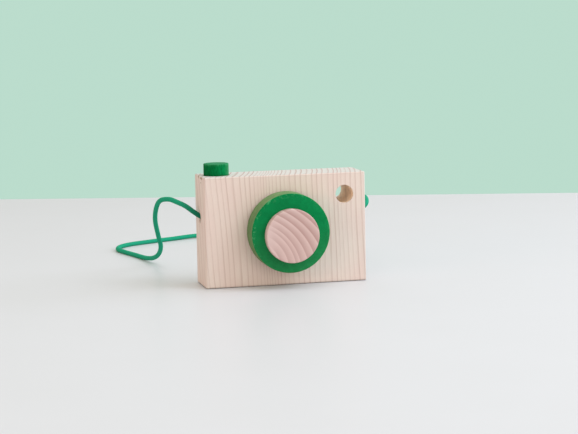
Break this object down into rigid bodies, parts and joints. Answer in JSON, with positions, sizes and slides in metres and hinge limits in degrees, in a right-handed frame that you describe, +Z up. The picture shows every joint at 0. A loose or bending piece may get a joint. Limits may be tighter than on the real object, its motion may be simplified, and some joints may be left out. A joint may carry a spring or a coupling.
{
  "type": "wooden toy camera",
  "caption": "Pretend-play camera of solid wood with a turning lens ring, a sprung shutter button, a see-through viewfinder hole and a neck cord.",
  "frame": {"origin": "centre of the pine block's underside, on the surface that the camera stands on", "axes": "+Z up, +X to the right of someone who looks at the lens, the lens faces -Y"},
  "size_m": [0.1638, 0.2638, 0.0775],
  "materials": {
    "pine": "bare sanded pine with fine upright grain",
    "end_grain_wood": "bare sanded end grain with curved growth rings",
    "green_wood": "matt water-based green stain over wood",
    "dowel_wood": "bare beech dowel",
    "green_cord": "braided elastic cord",
    "nylon": "matt",
    "spring_steel": "drawn wire",
    "brass": "drawn tube"
  },
  "bodies": {
    "camera_body": {"body_block": "pine", "lens_axle": "dowel_wood", "lens_washer": "nylon", "lens_core": "end_grain_wood", "shutter_spring": "spring_steel", "shutter_pin": "dowel_wood", "cord_ferrule_left": "brass", "cord_ferrule_right": "brass", "neck_cord": "green_cord"},
    "focus_ring": {"lens_ring": "green_wood"},
    "shutter": {"shutter_button": "green_wood"}
  },
  "joints": [
    {"name": "lens_turn", "type": "hinge", "parent": "camera_body", "child": "focus_ring", "pos_m": [-0.0006, -0.024, 0.0348], "axis": [0, -1, 0], "continuous": true},
    {"name": "shutter_press", "type": "slide", "parent": "camera_body", "child": "shutter", "axis": [0, 0, -1], "range_m": [0, 0.003], "stiffness_N_per_m": 1300, "springref_m": -0.002, "deforming": ["shutter_spring"]}
  ]
}
